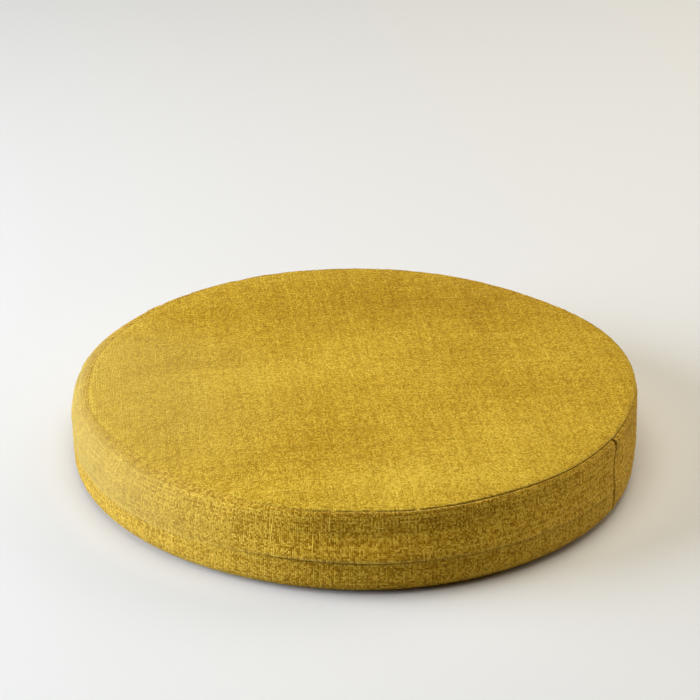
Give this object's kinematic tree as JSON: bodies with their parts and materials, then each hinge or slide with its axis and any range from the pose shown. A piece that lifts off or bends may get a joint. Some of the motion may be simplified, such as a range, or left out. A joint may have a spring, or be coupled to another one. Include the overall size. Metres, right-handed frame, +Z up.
{
  "type": "round seat cushion",
  "caption": "Round foam seat cushion in a linen-look cover, with a side strip that laps over a narrow lower strip and a flat base.",
  "frame": {"origin": "middle of the base, on the surface the cushion lies on", "axes": "+Z up through the thickness, +X to the right seen from the front, front towards -Y"},
  "size_m": [0.4488, 0.452, 0.0707],
  "materials": {
    "cover": "matt slubbed linen-look plain weave, mustard yellow"
  },
  "bodies": {
    "root": {"cushion": "cover"}
  },
  "joints": []
}
